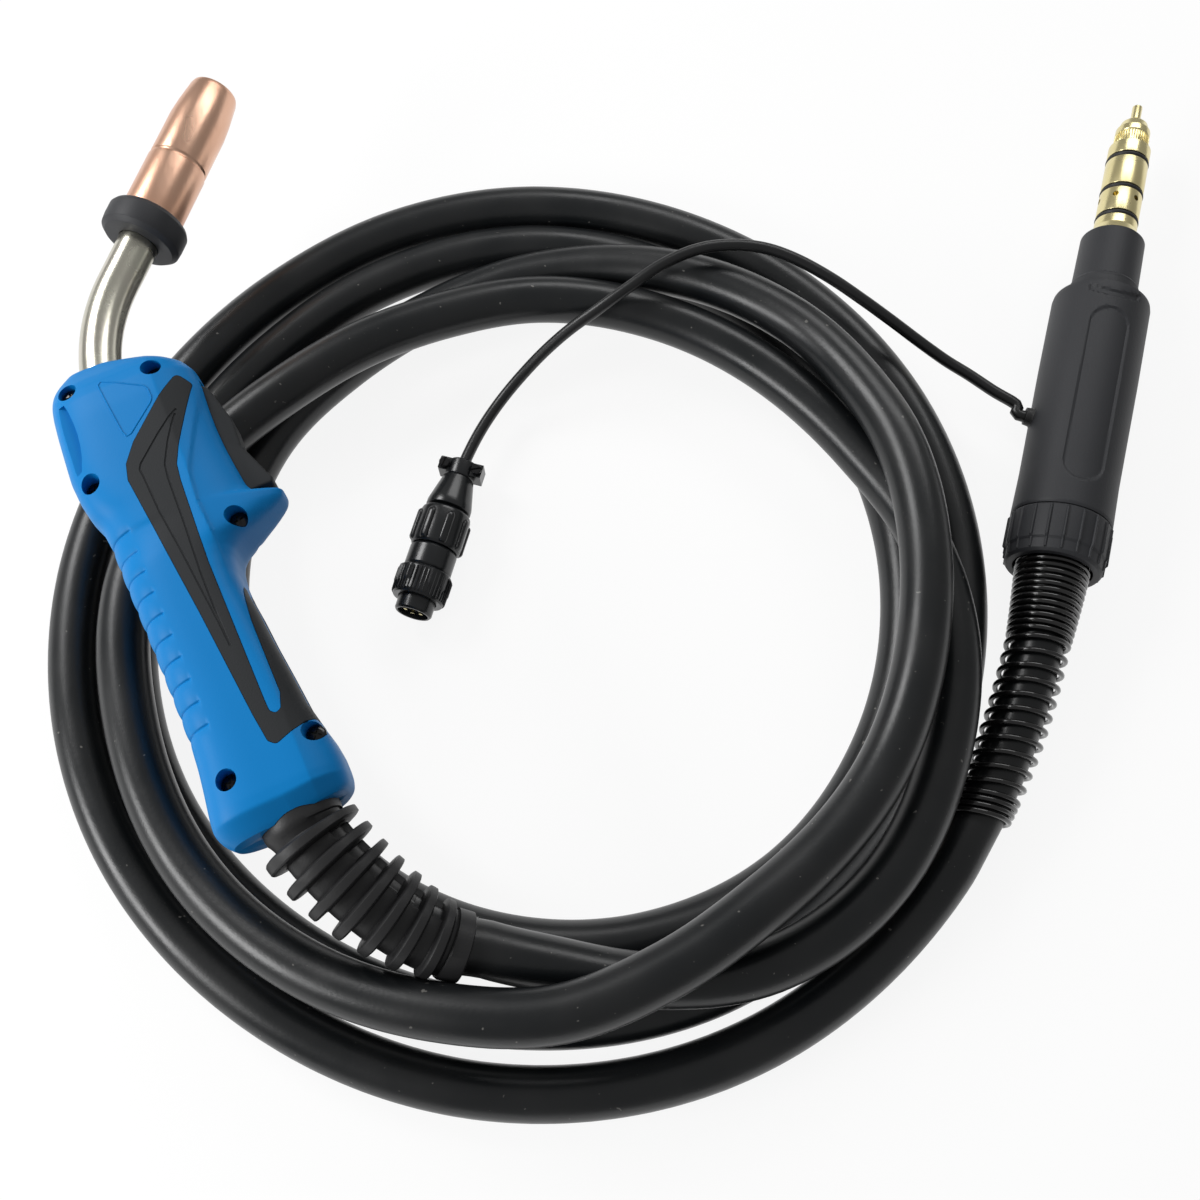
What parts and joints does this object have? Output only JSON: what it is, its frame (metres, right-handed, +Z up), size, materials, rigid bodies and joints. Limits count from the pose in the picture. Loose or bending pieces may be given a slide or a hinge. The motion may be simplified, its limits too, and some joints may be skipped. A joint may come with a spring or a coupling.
{
  "type": "wire welding torch with coiled cable",
  "caption": "Gas-shielded wire welding torch with a blue pistol handle, copper nozzle on a swan neck, coiled black power cable, spring-supported rear plug and a control lead with a round plug",
  "frame": {"origin": "Centre of the footprint of the torch with its rear plug, on the bench under the coil", "axes": "+Z up from the bench; +Y from the handle's grip end towards the nozzle and the rear pin; +X from the torch towards the rear plug"},
  "size_m": [0.4801, 0.4427, 0.0821],
  "materials": {
    "copper": "satin",
    "brass": "satin",
    "bright_steel": "satin",
    "blue_plastic": "satin",
    "soft_grip": "matte",
    "dark_plastic": "satin",
    "black_rubber": "matte",
    "cable_rubber": "satin",
    "lead_rubber": "satin",
    "black_screw": "satin",
    "black_spring": "gloss",
    "gloss_black": "gloss",
    "red_plastic": "satin"
  },
  "bodies": {
    "torch_and_leads": {"nozzle_insulator": "dark_plastic", "gas_diffuser": "brass", "swan_neck": "bright_steel", "neck_conductor": "brass", "handle_upper": "blue_plastic", "handle_lower": "blue_plastic", "grip_inlay_upper": "soft_grip", "grip_inlay_lower": "soft_grip", "trigger_pin": "bright_steel", "micro_switch": "dark_plastic", "handle_screws": "black_screw", "torch_body": "brass", "clamp_screw": "bright_steel", "cable_terminal": "copper", "cable_boot": "black_rubber", "cable_lead": "cable_rubber", "cable_coil": "cable_rubber", "cable_tail": "cable_rubber", "rear_crimp": "brass", "connector_housing": "dark_plastic", "connector_sleeve": "dark_plastic", "rear_pin": "brass", "o_rings": "black_rubber", "liner_tube": "brass", "support_spring": "black_spring", "lead_grommet": "black_rubber", "control_lead": "lead_rubber", "plug_clamp": "gloss_black", "plug_clamp_screws": "black_screw", "plug_backshell": "gloss_black", "plug_barrel": "gloss_black", "plug_insert": "dark_plastic", "plug_pins": "brass"},
    "gas_nozzle": {"gas_nozzle": "copper"},
    "contact_tip": {"contact_tip": "copper"},
    "trigger": {"trigger_lever": "soft_grip"},
    "switch_plunger": {"switch_plunger": "red_plastic"},
    "liner_nut": {"liner_nut": "brass"},
    "spring_nut": {"spring_nut": "dark_plastic"},
    "plug_back_nut": {"plug_back_nut": "gloss_black"},
    "plug_coupling_ring": {"plug_coupling_ring": "gloss_black"}
  },
  "joints": [
    {"name": "nozzle_pull_off", "type": "slide", "parent": "torch_and_leads", "child": "gas_nozzle", "axis": [0.2924, 0.9563, 0], "range_m": [0, 0.035]},
    {"name": "contact_tip_out", "type": "slide", "parent": "torch_and_leads", "child": "contact_tip", "axis": [0.2924, 0.9563, 0], "range_m": [0, 0.02]},
    {"name": "trigger_press", "type": "hinge", "parent": "torch_and_leads", "child": "trigger", "pos_m": [-0.17669, 0.01564, 0.063], "axis": [0, 0, -1], "range_deg": [0, 5], "stiffness_Nm_per_rad": 0.4, "springref_deg": -2.86},
    {"name": "switch_travel", "type": "slide", "parent": "torch_and_leads", "child": "switch_plunger", "axis": [-0.9063, -0.4226, 0], "range_m": [0, 0.0024]},
    {"name": "liner_nut_turn", "type": "hinge", "parent": "torch_and_leads", "child": "liner_nut", "pos_m": [0.22723, 0.18124, 0.021], "axis": [0.2807, 0.9598, 0], "continuous": true},
    {"name": "spring_nut_turn", "type": "hinge", "parent": "torch_and_leads", "child": "spring_nut", "pos_m": [0.16681, -0.0254, 0.021], "axis": [0.2807, 0.9598, 0], "continuous": true},
    {"name": "back_nut_turn", "type": "hinge", "parent": "torch_and_leads", "child": "plug_back_nut", "pos_m": [-0.08671, -0.01383, 0.0122], "axis": [-0.2639, -0.9646, 0], "continuous": true},
    {"name": "coupling_ring_turn", "type": "hinge", "parent": "torch_and_leads", "child": "plug_coupling_ring", "pos_m": [-0.0933, -0.03794, 0.0122], "axis": [-0.2639, -0.9646, 0], "continuous": true}
  ],
  "couplings": [
    {"joint": "switch_travel", "follows": "trigger_press", "m_per_rad": 0.0265}
  ]
}
